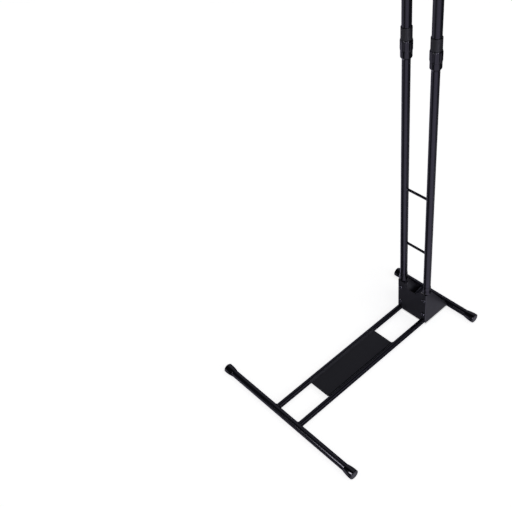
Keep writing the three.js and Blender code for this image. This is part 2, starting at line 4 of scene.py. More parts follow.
import bmesh
import bpy
import numpy as np
from mathutils import Matrix, Vector


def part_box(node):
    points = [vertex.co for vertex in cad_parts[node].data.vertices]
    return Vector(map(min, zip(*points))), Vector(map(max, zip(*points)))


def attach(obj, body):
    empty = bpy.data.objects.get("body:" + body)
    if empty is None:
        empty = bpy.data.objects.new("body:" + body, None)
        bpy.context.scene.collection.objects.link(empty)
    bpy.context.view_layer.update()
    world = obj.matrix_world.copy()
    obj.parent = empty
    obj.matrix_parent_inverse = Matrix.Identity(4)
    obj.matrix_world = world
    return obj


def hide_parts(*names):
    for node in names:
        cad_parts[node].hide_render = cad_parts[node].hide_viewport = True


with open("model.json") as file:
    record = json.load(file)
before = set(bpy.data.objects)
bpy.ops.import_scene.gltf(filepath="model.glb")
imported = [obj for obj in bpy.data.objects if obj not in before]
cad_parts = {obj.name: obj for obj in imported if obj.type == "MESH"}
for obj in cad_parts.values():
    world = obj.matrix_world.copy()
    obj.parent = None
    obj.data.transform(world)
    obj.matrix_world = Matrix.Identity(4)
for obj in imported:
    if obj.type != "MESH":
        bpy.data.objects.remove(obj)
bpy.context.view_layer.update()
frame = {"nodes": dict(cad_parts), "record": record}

# Lengths are in metres. X runs across the stand, +Y from the wheel tray to the posts, Z is up.
MM = 0.001
CROSSBAR_R = 10 * MM
RAIL_R = 7.7 * MM
SPIGOT_R = 8 * MM
TUBE_WALL = 1.2 * MM
POST_R = 10 * MM
POST_WALL = 1.7 * MM
UPPER_BORE = 10.4 * MM
UPPER_R = 11.4 * MM
WIRE_R = 3.4 * MM
CAP_RIM_R = 13.3 * MM
CAP_MOUTH_R = 10.8 * MM
SHEET = 1.5 * MM
SEAT_GAP = 0.3 * MM
BAR_Y = 295.25 * MM
BAR_Z = 13 * MM
SIDE_X = 40.7 * MM
POST_Y = 207.25 * MM
HOOK_Z = 1516 * MM
SIDES = (("left", -1), ("right", 1))
LEVELS = ("low", "high")
X_AXIS, Y_AXIS, Z_AXIS = Vector((1, 0, 0)), Vector((0, 1, 0)), Vector((0, 0, 1))
# The step in which the small points round a moulded lip are set
LIP = 0.05 * MM

# The camera of the photograph
CAMERA_AT = Vector((0.9609, -0.97855, 1.6829))
CAMERA_AZIMUTH = math.radians(54.98)
CAMERA_FALL = math.radians(42.60)
CAMERA_ROLL = math.radians(-9.48)
CAMERA_LENS = 54.37


def add_object(name, data):
    thing = bpy.data.objects.new(name, data)
    bpy.context.scene.collection.objects.link(thing)
    return thing


def make_camera():
    forward = Vector((-math.sin(CAMERA_AZIMUTH) * math.cos(CAMERA_FALL),
                      math.cos(CAMERA_AZIMUTH) * math.cos(CAMERA_FALL), -math.sin(CAMERA_FALL)))
    level = Vector((math.cos(CAMERA_AZIMUTH), math.sin(CAMERA_AZIMUTH), 0))
    right = level * math.cos(CAMERA_ROLL) + level.cross(forward) * math.sin(CAMERA_ROLL)
    back = -forward
    up = back.cross(right)
    data = bpy.data.cameras.new("camera")
    data.lens = CAMERA_LENS
    data.sensor_width = 36
    data.clip_start = 0.01
    data.clip_end = 50
    camera = add_object("camera", data)
    turn = Matrix((right, up, back)).transposed()
    camera.matrix_world = Matrix.Translation(CAMERA_AT) @ turn.to_4x4()
    bpy.context.scene.camera = camera


make_camera()


# Materials: every one is built from noise over the object's own coordinates

# Noise seldom leaves this range
NOISE_LOW, NOISE_HIGH = 0.3, 0.7


def new_material(name):
    material = bpy.data.materials.new(name)
    material.use_nodes = True
    tree = material.node_tree
    shader = tree.nodes["Principled BSDF"]
    place = tree.nodes.new("ShaderNodeTexCoord")
    return material, tree, shader, place.outputs["Object"]


def noise(tree, place, scale, detail=3.0, roughness=0.5, stretch=None):
    if stretch:
        mapping = tree.nodes.new("ShaderNodeMapping")
        mapping.inputs["Scale"].default_value = stretch
        tree.links.new(place, mapping.inputs["Vector"])
        place = mapping.outputs["Vector"]
    node = tree.nodes.new("ShaderNodeTexNoise")
    node.inputs["Scale"].default_value = scale
    node.inputs["Detail"].default_value = detail
    node.inputs["Roughness"].default_value = roughness
    tree.links.new(place, node.inputs["Vector"])
    return node.outputs["Fac"]


def colours(tree, factor, stops):
    node = tree.nodes.new("ShaderNodeValToRGB")
    ramp = node.color_ramp
    while len(ramp.elements) < len(stops):
        ramp.elements.new(0.5)
    for element, (at, colour) in zip(ramp.elements, stops):
        element.position = at
        element.color = (*colour, 1)
    tree.links.new(factor, node.inputs["Fac"])
    return node.outputs["Color"]


def between(one, other):
    """Colour stops that run from one colour to another over the range of a noise."""
    return (NOISE_LOW, one), (NOISE_HIGH, other)


def spread(tree, factor, low, high, start=NOISE_LOW, end=NOISE_HIGH):
    node = tree.nodes.new("ShaderNodeMapRange")
    node.inputs["From Min"].default_value = start
    node.inputs["From Max"].default_value = end
    node.inputs["To Min"].default_value = low
    node.inputs["To Max"].default_value = high
    tree.links.new(factor, node.inputs["Value"])
    return node.outputs["Result"]


def coat(tree, shader, tint_noise, stops, rough_noise, rough_range):
    """Colours a shader along one noise and sets its roughness along another."""
    tree.links.new(colours(tree, tint_noise, stops), shader.inputs["Base Color"])
    tree.links.new(spread(tree, rough_noise, *rough_range), shader.inputs["Roughness"])


def bump(tree, shader, layers):
    """Lays bumps over each other. Each layer is a noise, a strength and a height in metres."""
    below = None
    for height, strength, distance in layers:
        node = tree.nodes.new("ShaderNodeBump")
        node.inputs["Strength"].default_value = strength
        node.inputs["Distance"].default_value = distance
        tree.links.new(height, node.inputs["Height"])
        if below:
            tree.links.new(below, node.inputs["Normal"])
        below = node.outputs["Normal"]
    tree.links.new(below, shader.inputs["Normal"])


def gloss_paint():
    """Gloss black paint on tube: a faint blue-violet tint, soft orange peel and fine dust nibs."""
    material, tree, shader, place = new_material("gloss_black_paint")
    cloud = noise(tree, place, scale=14, detail=4)
    nibs = noise(tree, place, scale=900, detail=2)
    peel = noise(tree, place, scale=420, detail=2)
    tints = between((0.0022, 0.0020, 0.0040), (0.0036, 0.0033, 0.0058))
    coat(tree, shader, cloud, tints, cloud, (0.20, 0.26))
    shader.inputs["Specular Tint"].default_value = (0.90, 0.88, 1.0, 1)
    bump(tree, shader, ((peel, 0.05, 0.4 * MM), (nibs, 0.04, 0.1 * MM)))
    return material


def satin_sheet():
    """Satin charcoal paint on folded sheet, with a fine even texture."""
    material, tree, shader, place = new_material("satin_charcoal_paint")
    cloud = noise(tree, place, scale=22, detail=4)
    grain = noise(tree, place, scale=1400, roughness=0.6)
    tints = between((0.0050, 0.0049, 0.0074), (0.0072, 0.0071, 0.0102))
    coat(tree, shader, cloud, tints, grain, (0.36, 0.48))
    bump(tree, shader, ((cloud, 0.04, 2 * MM), (grain, 0.12, 0.2 * MM)))
    return material


def gloss_plastic():
    """Moulded gloss plastic: nearly black, with faint flow marks and hairline scuffs."""
    material, tree, shader, place = new_material("gloss_black_plastic")
    flow = noise(tree, place, scale=60, stretch=(1, 1, 3))
    scuff = noise(tree, place, scale=700, detail=4, roughness=0.65, stretch=(1, 5, 1))
    tints = between((0.0018, 0.0018, 0.0026), (0.0032, 0.0032, 0.0044))
    coat(tree, shader, flow, tints, scuff, (0.09, 0.16))
    shader.inputs["Specular Tint"].default_value = (0.94, 0.92, 1.0, 1)
    bump(tree, shader, ((flow, 0.03, 0.8 * MM), (scuff, 0.03, 0.1 * MM)))
    return material


def satin_plastic():
    """Moulded satin plastic with an eroded grain."""
    material, tree, shader, place = new_material("satin_black_plastic")
    flow = noise(tree, place, scale=45)
    grain = noise(tree, place, scale=2200, detail=2, roughness=0.6)
    tints = between((0.0042, 0.0042, 0.0058), (0.0064, 0.0064, 0.0086))
    coat(tree, shader, flow, tints, grain, (0.42, 0.58))
    shader.inputs["Specular IOR Level"].default_value = 0.4
    bump(tree, shader, ((grain, 0.2, 0.2 * MM),))
    return material


def vinyl():
    """Dipped soft vinyl: matt, with slow waves and small pits in its skin."""
    material, tree, shader, place = new_material("black_vinyl")
    wave = noise(tree, place, scale=90, detail=2)
    pits = noise(tree, place, scale=1600, roughness=0.7)
    tints = between((0.0080, 0.0078, 0.0080), (0.0130, 0.0125, 0.0130))
    coat(tree, shader, wave, tints, pits, (0.5, 0.68))
    shader.inputs["Specular IOR Level"].default_value = 0.35
    shader.inputs["Sheen Weight"].default_value = 0.08
    bump(tree, shader, ((wave, 0.15, 0.6 * MM), (pits, 0.15, 0.2 * MM)))
    return material


def black_bolt_steel():
    """Blackened steel: polish in clouds, and small worn specks that are brighter."""
    material, tree, shader, place = new_material("black_bolt_steel")
    cloud = noise(tree, place, scale=260)
    wear = noise(tree, place, scale=1500, detail=4, roughness=0.7)
    tints = ((0.45, (0.080, 0.080, 0.090)), (0.68, (0.100, 0.100, 0.110)), (0.80, (0.16, 0.16, 0.17)))
    coat(tree, shader, wear, tints, cloud, (0.16, 0.26))
    shader.inputs["Metallic"].default_value = 1
    bump(tree, shader, ((wear, 0.08, 0.1 * MM),))
    return material


def zinc_steel():
    """Bright zinc plate, faintly yellow and blue, with fine turning marks."""
    material, tree, shader, place = new_material("zinc_steel")
    cloud = noise(tree, place, scale=180)
    marks = noise(tree, place, scale=1200, roughness=0.6, stretch=(1, 1, 6))
    coat(tree, shader, cloud, between((0.42, 0.43, 0.46), (0.56, 0.55, 0.50)), marks, (0.26, 0.44))
    shader.inputs["Metallic"].default_value = 1
    bump(tree, shader, ((marks, 0.1, 0.1 * MM),))
    return material


MATERIALS = {
    "gloss_black_paint": gloss_paint(),
    "satin_charcoal_paint": satin_sheet(),
    "gloss_black_plastic": gloss_plastic(),
    "satin_black_plastic": satin_plastic(),
    "black_vinyl": vinyl(),
    "black_bolt_steel": black_bolt_steel(),
    "zinc_steel": zinc_steel(),
}
SLOT_OF = {part["node"]: part["material_slot"] for part in frame["record"]["subparts"]}
BODY_OF = {node: body for body, nodes in frame["record"]["behaviour"]["bodies"].items() for node in nodes}
for node_name, cad_object in frame["nodes"].items():
    cad_object.data.materials.clear()
    cad_object.data.materials.append(MATERIALS[SLOT_OF[node_name]])


# Shapes

def finish_piece(name, mesh, slot, body, node=None, sharp=32):
    """Names a mesh, shades it, gives it its material and puts it on its body, in place of its CAD node."""
    mesh.name = name
    mesh.materials.append(MATERIALS[slot])
    mesh.polygons.foreach_set("use_smooth", [True] * len(mesh.polygons))
    mesh.set_sharp_from_angle(angle=math.radians(sharp))
    piece = add_object(name, mesh)
    piece.modifiers.new("flat_faces", "WEIGHTED_NORMAL").keep_sharp = True
    if node:
        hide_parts(node)
    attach(piece, body)


def dress(node, mesh):
    finish_piece(node + "_dressed", mesh, SLOT_OF[node], BODY_OF[node], node)


def to_mesh(bm, name):
    mesh = bpy.data.meshes.new(name)
    bm.to_mesh(mesh)
    bm.free()
    return mesh


class Path:
    """A run of points with a frame that turns as little as it can from each point to the next."""

    def __init__(self, points, side=None):
        self.points = [Vector(p) for p in points]
        lengths = [(b - a).length for a, b in zip(self.points, self.points[1:])]
        self.at = np.concatenate([[0.0], np.cumsum(lengths)])
        self.length = float(self.at[-1])
        runs = [(b - a).normalized() for a, b in zip(self.points, self.points[1:])]
        self.along = [runs[0]] + [(a + b).normalized() for a, b in zip(runs, runs[1:])] + [runs[-1]]
        first = self.along[0]
        guess = side or (X_AXIS if abs(first.x) < 0.9 else Y_AXIS)
        self.side = [(guess - first * guess.dot(first)).normalized()]
        for before, after in zip(self.along, self.along[1:]):
            turned = before.rotation_difference(after) @ self.side[-1]
            self.side.append((turned - after * turned.dot(after)).normalized())

    def frame(self, s):
        k = int(np.clip(np.searchsorted(self.at, s) - 1, 0, len(self.points) - 2))
        share = (s - self.at[k]) / (self.at[k + 1] - self.at[k])
        point = self.points[k].lerp(self.points[k + 1], share)
        blend = min(max(share, 0), 1)
        along = self.along[k].lerp(self.along[k + 1], blend).normalized()
        side = self.side[k].lerp(self.side[k + 1], blend)
        side = (side - along * side.dot(along)).normalized()
        return point, side, along.cross(side)


def straight(start, direction, side=None):
    """A straight path. It goes on past its two points as far as it is asked to."""
    return Path([start, Vector(start) + Vector(direction).normalized()], side)


def spin(profile, path, sides=96, shape=None):
    """A mesh turned about a path from (radius, distance along) pairs. Radii of 0 at the ends close it;
    otherwise its last ring joins its first. shape(angle, radius, distance) may change a radius."""
    bm = bmesh.new()
    rings = []
    for radius, s in profile:
        point, side, other = path.frame(s)
        if radius <= 0:
            rings.append([bm.verts.new(point)])
            continue
        ring = []
        for i in range(sides):
            angle = 2 * math.pi * i / sides
            r = shape(angle, radius, s) if shape else radius
            ring.append(bm.verts.new(point + side * (r * math.cos(angle)) + other * (r * math.sin(angle))))
        rings.append(ring)
    pairs = list(zip(rings, rings[1:]))
    if len(rings[0]) > 1:
        pairs.append((rings[-1], rings[0]))
    for a, b in pairs:
        for i in range(sides):
            j = (i + 1) % sides
            corners = [a[i % len(a)], a[j % len(a)], b[j % len(b)], b[i % len(b)]]
            kept = [v for k, v in enumerate(corners) if v not in corners[:k]]
            if len(kept) > 2:
                bm.faces.new(kept)
    bmesh.ops.recalc_face_normals(bm, faces=bm.faces)
    return to_mesh(bm, "turned")


def arc(radius, start, end, count, centre=(0, 0)):
    """Points round a centre, from one angle in degrees to another."""
    return [(centre[0] + radius * math.cos(a), centre[1] + radius * math.sin(a))
            for a in np.radians(np.linspace(start, end, count))]


def rounded(points, radius, steps=4, closed=True):
    """The corners of an outline, each replaced by a small arc. radius is one number or one per point."""
    radii = radius if isinstance(radius, (list, tuple)) else [radius] * len(points)
    flat = [Vector((a, b)) for a, b in points]
    out = []
    count = len(flat)
    for i, corner in enumerate(flat):
        open_end = not closed and i in (0, count - 1)
        before, after = flat[i - 1] - corner, flat[(i + 1) % count] - corner
        half = before.angle(after) / 2
        if open_end or radii[i] <= 0 or half > math.radians(88):
            out.append((corner.x, corner.y))
            continue
        reach = min(radii[i] / math.tan(half), before.length * 0.45, after.length * 0.45)
        r = reach * math.tan(half)
        u, v = before.normalized(), after.normalized()
        middle = corner + (u + v).normalized() * (r / math.sin(half))
        start, end = corner + u * reach - middle, corner + v * reach - middle
        sweep = start.angle_signed(end)
        for k in range(steps + 1):
            turn = Matrix.Rotation(-sweep * k / steps, 2)
            point = middle + turn @ start
            out.append((point.x, point.y))
    return out


def pipe(start, direction, length, outer, inner, sides=96):
    """A straight tube with softly rounded rims."""
    rim_round = 0.25 * MM
    profile = rounded([(inner, 0), (outer, 0), (outer, length), (inner, length)], rim_round, steps=3)
    return spin(profile, straight(start, direction), sides)


def smooth(t):
    t = min(max(t, 0.0), 1.0)
    return t * t * (3 - 2 * t)


def quarter_sine(t):
    return math.sin(t * math.pi / 2)


def flare(ease, start_radius, end_radius, start, end, steps=20):
    return [(start_radius + (end_radius - start_radius) * ease(k / steps), start + (end - start) * k / steps)
            for k in range(steps + 1)]


def fold_outline(points, thickness, bend, steps=12):
    """The outline of a folded sheet, from its middle line and the inner radius of its bends."""
    line = [Vector(p) for p in points]
    stations = []
    for i, corner in enumerate(line):
        into = (corner - line[i - 1]).normalized() if i else (line[1] - line[0]).normalized()
        away = (line[i + 1] - corner).normalized() if i + 1 < len(line) else into
        normal = Vector((-into.y, into.x))
        turn = math.atan2(into.x * away.y - into.y * away.x, into.dot(away))
        if abs(turn) < 1e-6:
            stations.append((corner, normal))
            continue
        sign = math.copysign(1, turn)
        radius = bend + thickness / 2
        start = corner - into * (radius * math.tan(abs(turn) / 2))
        centre = start + normal * (sign * radius)
        for k in range(steps + 1):
            spoke = Matrix.Rotation(turn * k / steps, 2) @ normal
            stations.append((centre - spoke * (sign * radius), spoke))
    left = [p + n * (thickness / 2) for p, n in stations]
    right = [p - n * (thickness / 2) for p, n in stations]
    return left + right[::-1]


def seen_from_above(u, v, w):
    return Vector((u, v, w))


def seen_from_front(u, v, w):
    return Vector((u, w, v))


def seen_from_side(u, v, w):
    return Vector((w, u, v))


def prism(outline, low, high, to_world=seen_from_above):
    """A straight body over an outline. to_world(u, v, w) places the outline's point u, v at depth w."""
    bm = bmesh.new()
    bottom = [bm.verts.new(to_world(p[0], p[1], low)) for p in outline]
    top = [bm.verts.new(to_world(p[0], p[1], high)) for p in outline]
    count = len(outline)
    bm.faces.new(bottom)
    bm.faces.new(top[::-1])
    for i in range(count):
        j = (i + 1) % count
        bm.faces.new((bottom[j], bottom[i], top[i], top[j]))
    bmesh.ops.recalc_face_normals(bm, faces=bm.faces)
    return to_mesh(bm, "prism")


def carve(mesh, cuts=(), bevel=0.0, segments=2, limit=30, operation="DIFFERENCE"):
    """Cuts other meshes out of a mesh, or keeps what it shares with them, then rounds its sharp edges."""
    work = add_object("work", mesh)
    others = []
    for cutter in cuts:
        other = add_object("cutter", cutter)
        others.append(other)
        modifier = work.modifiers.new("cut", "BOOLEAN")
        modifier.operation = operation
        modifier.solver = "EXACT"
        modifier.object = other
    if bevel:
        modifier = work.modifiers.new("edges", "BEVEL")
        modifier.width = bevel
        modifier.segments = segments
        modifier.limit_method = "ANGLE"
        modifier.angle_limit = math.radians(limit)
        modifier.miter_outer = "MITER_ARC"
    bpy.context.view_layer.update()
    result = bpy.data.meshes.new_from_object(work.evaluated_get(bpy.context.evaluated_depsgraph_get()))
    for item in [work, *others]:
        bpy.data.objects.remove(item)
    return result


def join_meshes(*meshes):
    bm = bmesh.new()
    for mesh in meshes:
        bm.from_mesh(mesh)
    return to_mesh(bm, "joined")


def moved(mesh, matrix):
    copy = mesh.copy()
    copy.transform(matrix)
    return copy


def weld(name, points, radius, body, phase):
    """A ripple-topped bead along a run of points, painted with the frame."""
    ripple_pitch, lump_pitch, station = 1.7 * MM, 6.3 * MM, 0.35 * MM
    path = Path(points)
    steps = max(24, int(path.length / station))
    profile = []
    for k in range(steps + 1):
        s = path.length * k / steps
        near_end = min(s, path.length - s) / (radius * 0.9)
        ends = math.sqrt(max(1 - (1 - min(near_end, 1)) ** 2, 0))
        ripple = 1 + 0.07 * math.sin(2 * math.pi * s / ripple_pitch + phase)
        lumps = 1 + 0.05 * math.sin(2 * math.pi * s / lump_pitch + 2.1 * phase)
        profile.append((radius * ends * ripple * lumps, s))
    profile[0] = (0, 0)
    profile[-1] = (0, path.length)
    finish_piece(name, spin(profile, path, sides=20), "gloss_black_paint", body, sharp=60)


def ring_places(centre, radius, axis_a, axis_b, surface, start=0.0, steps=64):
    """Points round a joint: a circle across the thinner tube, moved along to the surface it meets."""
    points = []
    for k in range(steps + 1):
        angle = start + 2 * math.pi * k / steps
        across = axis_a * (radius * math.cos(angle)) + axis_b * (radius * math.sin(angle))
        points.append(surface(centre + across))
    return points


# Base frame

def crossbar(node):
    low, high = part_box(node)
    start = (low.x, (low.y + high.y) / 2, BAR_Z)
    dress(node, pipe(start, X_AXIS, high.x - low.x, CROSSBAR_R, CROSSBAR_R - TUBE_WALL))


for end in ("front", "rear"):
    crossbar("crossbar_" + end)


def bell(tube_radius, mouth, rim, length, path):
    """A bell-shaped cap: a bore with an end wall, a soft lip, a side that swells and then runs straight,
    a round edge and a grooved end."""
    bore = tube_radius + SEAT_GAP
    edge, end_wall = 1.8 * MM, 4 * MM
    groove, groove_out, groove_round = 8.6 * MM, 10.1 * MM, 0.3 * MM
    groove_floor = length - 1.2 * MM
    swell_share = 0.77
    inside = [(0, length - end_wall), (bore, length - end_wall)]
    lip = [(bore, 7 * LIP), (bore + 2.4 * LIP, LIP), (mouth - 4 * LIP, 0), (mouth - LIP, 2.4 * LIP)]
    side = flare(quarter_sine, mouth, rim, 8 * LIP, length * swell_share)
    nose = arc(edge, 0, 90, 10, (rim - edge, length - edge))
    face = rounded([nose[-1], (groove_out, length), (groove_out, groove_floor), (groove, groove_floor),
                    (groove, length), (0, length)], groove_round, closed=False)
    return spin(inside + lip + side + nose + face[1:], path, sides=112)


def foot_cap(node, sign):
    """A crossbar's end cap, with a flat where it stands on the floor."""
    low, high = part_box(node)
    start = Vector((low.x if sign > 0 else high.x, (low.y + high.y) / 2, BAR_Z))
    path = straight(start, X_AXIS * sign, side=Z_AXIS)
    mesh = bell(CROSSBAR_R, CAP_MOUTH_R, CAP_RIM_R, high.x - low.x, path)
    for vertex in mesh.vertices:
        vertex.co.z = max(vertex.co.z, 0)
    dress(node, mesh)


for end in ("front", "rear"):
    for side_name, sign in SIDES:
        foot_cap(f"foot_cap_{end}_{side_name}", sign)


def rail(side_name, sign):
    """A rail that runs into both crossbars, with a weld round each joint."""
    short_of_axis, bead, bead_off = 6.3 * MM, 1.5 * MM, 0.2 * MM
    reach = BAR_Y - short_of_axis
    start = (sign * SIDE_X, -reach, BAR_Z)
    dress("rail_" + side_name, pipe(start, Y_AXIS, 2 * reach, RAIL_R, RAIL_R - TUBE_WALL))
    for end, way in (("front", -1), ("rear", 1)):
        def on_bar(point, way=way):
            rise = point.z - BAR_Z
            y = way * (BAR_Y - math.sqrt(CROSSBAR_R ** 2 - rise ** 2))
            return Vector((point.x, y, point.z))
        centre = Vector((sign * SIDE_X, 0, BAR_Z))
        points = ring_places(centre, RAIL_R + bead_off, X_AXIS, Z_AXIS, on_bar, start=-0.5)
        weld(f"weld_rail_{end}_{side_name}", points, bead, "base_frame", sign + way)


for side_name, sign in SIDES:
    rail(side_name, sign)


def wheel_tray():
    """A sheet with turned-up sides that lie against the rails, held to each by four short welds."""
    low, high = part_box("wheel_tray")
    slope = math.pi / 4
    floor_top, lip_reach, bend, edge = 16 * MM, 3.2 * MM, 2 * MM, 0.3 * MM
    stand = RAIL_R + SEAT_GAP + SHEET / 2
    rest_x = SIDE_X - stand * math.sin(slope)
    rest_z = BAR_Z + stand * math.cos(slope)
    floor_z = floor_top - SHEET / 2
    fold = (rest_x - (rest_z - floor_z), floor_z)
    lip = (rest_x + lip_reach * math.cos(slope), rest_z + lip_reach * math.sin(slope))
    outline = fold_outline([(-lip[0], lip[1]), (-fold[0], fold[1]), fold, lip], SHEET, bend)
    body = prism(outline, low.y, high.y, seen_from_front)
    dress("wheel_tray", carve(body, bevel=edge))
    bead, bead_reach, bead_off = 1.3 * MM, 7 * MM, 0.6 * MM
    seam_in_share, seam_up_share = 0.86, 0.34
    seam_x = SIDE_X - RAIL_R * seam_in_share - bead_off
    seam_z = BAR_Z + RAIL_R * seam_up_share
    for side_name, sign in SIDES:
        for k, length_share in enumerate((0.06, 0.36, 0.64, 0.94)):
            y = low.y + (high.y - low.y) * length_share
            points = [Vector((sign * seam_x, y + d, seam_z))
                      for d in np.linspace(-bead_reach, bead_reach, 20)]
            weld(f"weld_tray_{side_name}_{k}", points, bead, "base_frame", k)


wheel_tray()


def post_bracket():
    """A folded sheet: a plate with a dip in its top and notches over the rails, and two gussets whose
    sloping edges run down to the rear crossbar."""
    low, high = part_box("post_bracket")
    side, front = high.x - SHEET / 2, low.y + SHEET / 2
    heel = BAR_Y - CROSSBAR_R
    tail = heel + 0.3 * MM
    bend, edge, overrun = 2.5 * MM, 0.35 * MM, 60 * MM
    ledge, heel_top = low.y + 24 * MM, 22 * MM
    outline = fold_outline([(-side, tail), (-side, front), (side, front), (side, tail)], SHEET, bend)
    body = prism(outline, low.z, high.z)
    slope = [(ledge, high.z), (ledge, high.z + overrun), (heel + overrun, high.z + overrun),
             (heel + overrun, heel_top), (heel, heel_top)]
    above = prism(slope, -overrun, overrun, seen_from_side)
    mouth, dip_floor, dip_z = 27.4 * MM, 14 * MM, high.z - 18 * MM
    corner, brim = 3 * MM, 2 * MM
    dip = rounded([(-dip_floor, dip_z), (dip_floor, dip_z), (mouth, high.z), (mouth, high.z + overrun),
                   (-mouth, high.z + overrun), (-mouth, high.z)], [corner, corner, brim, 0, 0, brim], steps=6)
    before, behind = low.y - 3 * MM, low.y + 4 * MM
    cuts = [above, prism(dip, before, behind, seen_from_front)]
    notch = RAIL_R + SEAT_GAP
    for _, sign in SIDES:
        x = sign * SIDE_X
        shape = [(x - notch, 0), (x + notch, 0)] + arc(notch, 0, 180, 33, (x, BAR_Z))
        cuts.append(prism(shape, before, behind, seen_from_front))
    dress("post_bracket", carve(body, cuts, bevel=edge, segments=3))
    bead, bead_off = 1.5 * MM, 0.2 * MM
    for side_name, sign in SIDES:
        for face, x in (("outer", high.x), ("inner", high.x - SHEET)):
            points = []
            for a in np.radians(np.linspace(158, 203, 30)):
                points.append(Vector((sign * x, BAR_Y + (CROSSBAR_R + bead_off) * math.cos(a),
                                      BAR_Z + CROSSBAR_R * math.sin(a))))
            weld(f"weld_bracket_{face}_{side_name}", points, bead, "base_frame", sign + x)


post_bracket()


def upright_pipe(node, x, outer, inner, sides=96):
    low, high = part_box(node)
    dress(node, pipe((x, POST_Y, low.z), Z_AXIS, high.z - low.z, outer, inner, sides))


def spigot(node, x):
    upright_pipe(node, x, SPIGOT_R, SPIGOT_R - TUBE_WALL, sides=64)
    bead, bead_inset = 1.2 * MM, 0.3 * MM

    def on_rail(point):
        rise = math.sqrt(max(RAIL_R ** 2 - (point.x - x) ** 2, MM ** 2))
        return Vector((point.x, point.y, BAR_Z + rise))

    points = ring_places(Vector((x, POST_Y, 0)), SPIGOT_R - bead_inset, X_AXIS, Y_AXIS, on_rail)
    weld("weld_" + node, points, bead, "base_frame", x * 40)


def ferrule(node, x):
    """A bell-shaped collar round a post's foot, with a web under the post's end."""
    low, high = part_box(node)
    length = high.z - low.z
    rim, mouth, web, edge = CAP_RIM_R, CAP_MOUTH_R, 3 * MM, 3.4 * MM
    bore, web_bore = POST_R + SEAT_GAP / 2, SPIGOT_R + SEAT_GAP
    narrow_share = 0.74
    foot = arc(edge, -90, -8, 9, (rim - edge, edge))
    side = flare(smooth, rim, mouth, edge, length * narrow_share)
    top = [(mouth - LIP, length - 5 * LIP), (mouth - 6 * LIP, length), (bore + 4 * LIP, length - LIP),
           (bore, length - 8 * LIP)]
    profile = [(web_bore, 0)] + foot + side + top + [(bore, web), (web_bore, web)]
    dress(node, spin(profile, straight((x, POST_Y, low.z), Z_AXIS), sides=112))


def glide(node, x):
    """A plug in a lower post's top, with a flange that guides the upper tube."""
    low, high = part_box(node)
    length, plug, flange, bore = high.z - low.z, 8 * MM, 10.1 * MM, 4 * MM
    seat, edge = 20 * MM, 0.4 * MM
    profile = rounded([(bore, 0), (plug, 0), (plug, seat), (flange, seat), (flange, length), (bore, length)],
                      edge)
    dress(node, spin(profile, straight((x, POST_Y, low.z), Z_AXIS), sides=64))


for side_name, sign in SIDES:
    spigot("post_spigot_" + side_name, sign * SIDE_X)
    upright_pipe("lower_post_" + side_name, sign * SIDE_X, POST_R, POST_R - POST_WALL)
    ferrule("post_ferrule_" + side_name, sign * SIDE_X)
    glide("post_glide_" + side_name, sign * SIDE_X)


def cross_wire(node, tube_radius):
    low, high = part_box(node)
    z = (low.z + high.z) / 2
    reach = SIDE_X - math.sqrt(tube_radius ** 2 - WIRE_R ** 2)
    hidden_bore, bead, bead_off = 0.4 * MM, 1.0 * MM, 0.1 * MM
    dress(node, pipe((-reach, POST_Y, z), X_AXIS, 2 * reach, WIRE_R, hidden_bore, sides=48))
    for side_name, sign in SIDES:
        def on_tube(point, sign=sign):
            y = point.y - POST_Y
            return Vector((sign * (SIDE_X - math.sqrt(tube_radius ** 2 - y ** 2)), point.y, point.z))
        centre = Vector((0, POST_Y, z))
        points = ring_places(centre, WIRE_R + bead_off, Y_AXIS, Z_AXIS, on_tube, start=-2.2)
        weld(f"weld_{node}_{side_name}", points, bead, BODY_OF[node], sign * 3 + z)


for level in LEVELS:
    cross_wire("post_wire_" + level, POST_R)
    cross_wire("head_wire_" + level, UPPER_R)


# Fasteners

M6_BOLT = dict(radius=3 * MM, head_radius=5.7 * MM, head_height=3.3 * MM, socket_radius=2.2 * MM,
               socket_depth=1.9 * MM, pitch=1.0 * MM)
M4_BOLT = dict(radius=2 * MM, head_radius=3.9 * MM, head_height=2.2 * MM, socket_radius=1.4 * MM,
               socket_depth=1.2 * MM, pitch=0.7 * MM)


def hexagon(width):
    return arc(width / math.sqrt(3), 0, 300, 6)


def thread_depth(angle, s, pitch):
    """How deep a thread is cut at an angle round it and a distance along it."""
    wave = (s / pitch - angle / (2 * math.pi)) % 1
    return 0.5 * pitch * abs(2 * wave - 1)


def bolt_mesh(radius, head_radius, head_height, socket_radius, socket_depth, pitch, length):
    """A domed bolt along +Z from under its head at 0, with a hexagon socket and a threaded end."""
    origin = straight((0, 0, 0), Z_AXIS)
    edge, socket_edge, sunk = 0.2 * MM, 0.14 * MM, 0.1 * MM
    dome = [(head_radius * math.sin(a), -head_height * math.cos(a))
            for a in np.radians(np.linspace(0, 84, 15))]
    rim = [(head_radius, -0.28 * head_height), (head_radius, -1.1 * edge), (head_radius - edge, 0)]
    head = spin([(0, -head_height)] + dome[1:] + rim + [(0, 0)], origin, sides=64)
    socket = prism(hexagon(socket_radius * 1.8), -head_height - MM, socket_depth - head_height)
    head = carve(head, [socket], bevel=socket_edge, limit=38)

    def thread(angle, r, s):
        if r < radius * 0.9:
            return r
        fade_in = smooth((s - 0.25 * length) / (0.04 * length))
        fade_out = smooth((length - s) / (0.6 * MM))
        return r - thread_depth(angle, s, pitch) * fade_in * fade_out

    steps = max(8, int(length / (pitch / 8)))
    side = [(radius, length * k / steps) for k in range(steps + 1)]
    shank = spin([(0, -sunk)] + side + [(radius * 0.8, length), (0, length)], origin, sides=32, shape=thread)
    return join_meshes(head, shank)


